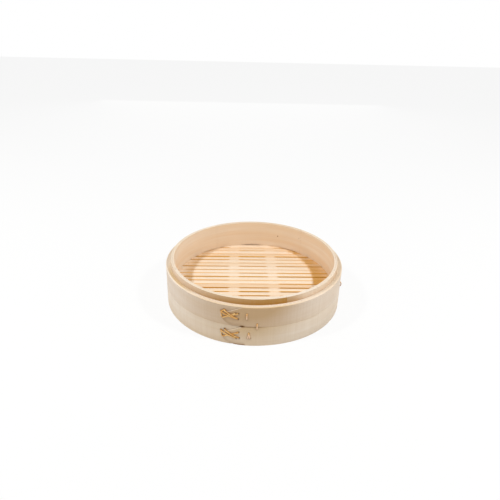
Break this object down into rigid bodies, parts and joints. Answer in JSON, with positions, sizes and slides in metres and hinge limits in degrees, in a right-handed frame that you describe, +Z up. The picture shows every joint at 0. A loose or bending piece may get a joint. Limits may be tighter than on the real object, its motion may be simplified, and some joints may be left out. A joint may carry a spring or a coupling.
{
  "type": "bamboo steamer basket",
  "caption": "Round bamboo steamer tier: laced strip wall with a proud stacking rim, a socket underneath, and a floor of bamboo slats with steam slots.",
  "frame": {"origin": "centre of the circle on which the wall stands, in the plane of the wall's lower edge", "axes": "+Z up along the basket's axis, towards the open top; X along the floor slats; Y along the rods and battens, with the laced laps of the outer bands on the -Y side"},
  "size_m": [0.3048, 0.3058, 0.079],
  "materials": {
    "wall_bamboo": "planed bamboo strip, matt",
    "rim_bamboo": "planed bamboo strip with sanded edges, matt",
    "slat_bamboo": "sawn and sanded bamboo, satin",
    "split_cane": "split cane, satin skin",
    "peg_bamboo": "whittled bamboo, matt"
  },
  "bodies": {
    "root": {"rim_ply_inner": "rim_bamboo", "rim_splice": "rim_bamboo", "rim_ply_outer": "rim_bamboo", "rim_pegs": "peg_bamboo", "core_ply_inner": "wall_bamboo", "core_ply_outer": "wall_bamboo", "outer_band_upper": "wall_bamboo", "outer_band_lower": "wall_bamboo", "lacing_upper": "split_cane", "lacing_lower": "split_cane", "stitch_upper": "split_cane", "stitch_lower": "split_cane", "stitch_seam": "split_cane", "stitch_side": "split_cane", "support_ply_inner": "wall_bamboo", "support_ply_outer": "wall_bamboo", "support_pegs": "peg_bamboo", "batten_left": "wall_bamboo", "batten_right": "wall_bamboo", "rod_left": "peg_bamboo", "rod_right": "peg_bamboo", "slat_01": "slat_bamboo", "slat_02": "slat_bamboo", "slat_03": "slat_bamboo", "slat_04": "slat_bamboo", "slat_05": "slat_bamboo", "slat_06": "slat_bamboo", "slat_07": "slat_bamboo", "slat_08": "slat_bamboo", "slat_09": "slat_bamboo", "slat_10": "slat_bamboo", "slat_11": "slat_bamboo", "slat_12": "slat_bamboo", "slat_13": "slat_bamboo", "slat_14": "slat_bamboo", "slat_15": "slat_bamboo", "slat_16": "slat_bamboo", "slat_17": "slat_bamboo", "slat_18": "slat_bamboo", "slat_19": "slat_bamboo", "slat_20": "slat_bamboo", "slat_21": "slat_bamboo", "slat_22": "slat_bamboo"}
  },
  "joints": []
}
